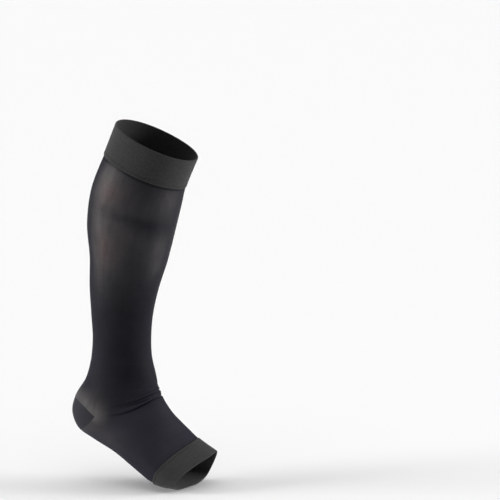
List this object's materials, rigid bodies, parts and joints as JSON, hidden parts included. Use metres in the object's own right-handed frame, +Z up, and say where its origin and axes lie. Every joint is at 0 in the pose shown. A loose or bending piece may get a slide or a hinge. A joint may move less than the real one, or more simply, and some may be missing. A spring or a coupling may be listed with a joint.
{
  "type": "compression stocking",
  "caption": "Open-toe knee-length compression stocking for the right leg, worn shape, with a ribbed elastic band below the knee, a knitted heel pocket and a soft toe band.",
  "frame": {"origin": "middle of the top band, on the middle line of the opening, where the leg below the knee holds the stocking up", "axes": "+Z up, the way the stocking is worn by someone who stands, with the shin a little aslant; +X forward, the way the toes point; +Y to the wearer's left, so to the inner side of this right leg"},
  "size_m": [0.1792, 0.1132, 0.4509],
  "materials": {
    "leg_knit": "fine elastic knit, soft sheen",
    "heel_knit": "dense knit, matt",
    "band_knit": "double elastic knit, matt"
  },
  "bodies": {
    "root": {"leg_and_foot": "leg_knit", "heel_pocket": "heel_knit", "top_band": "band_knit", "toe_band": "band_knit"}
  },
  "joints": []
}
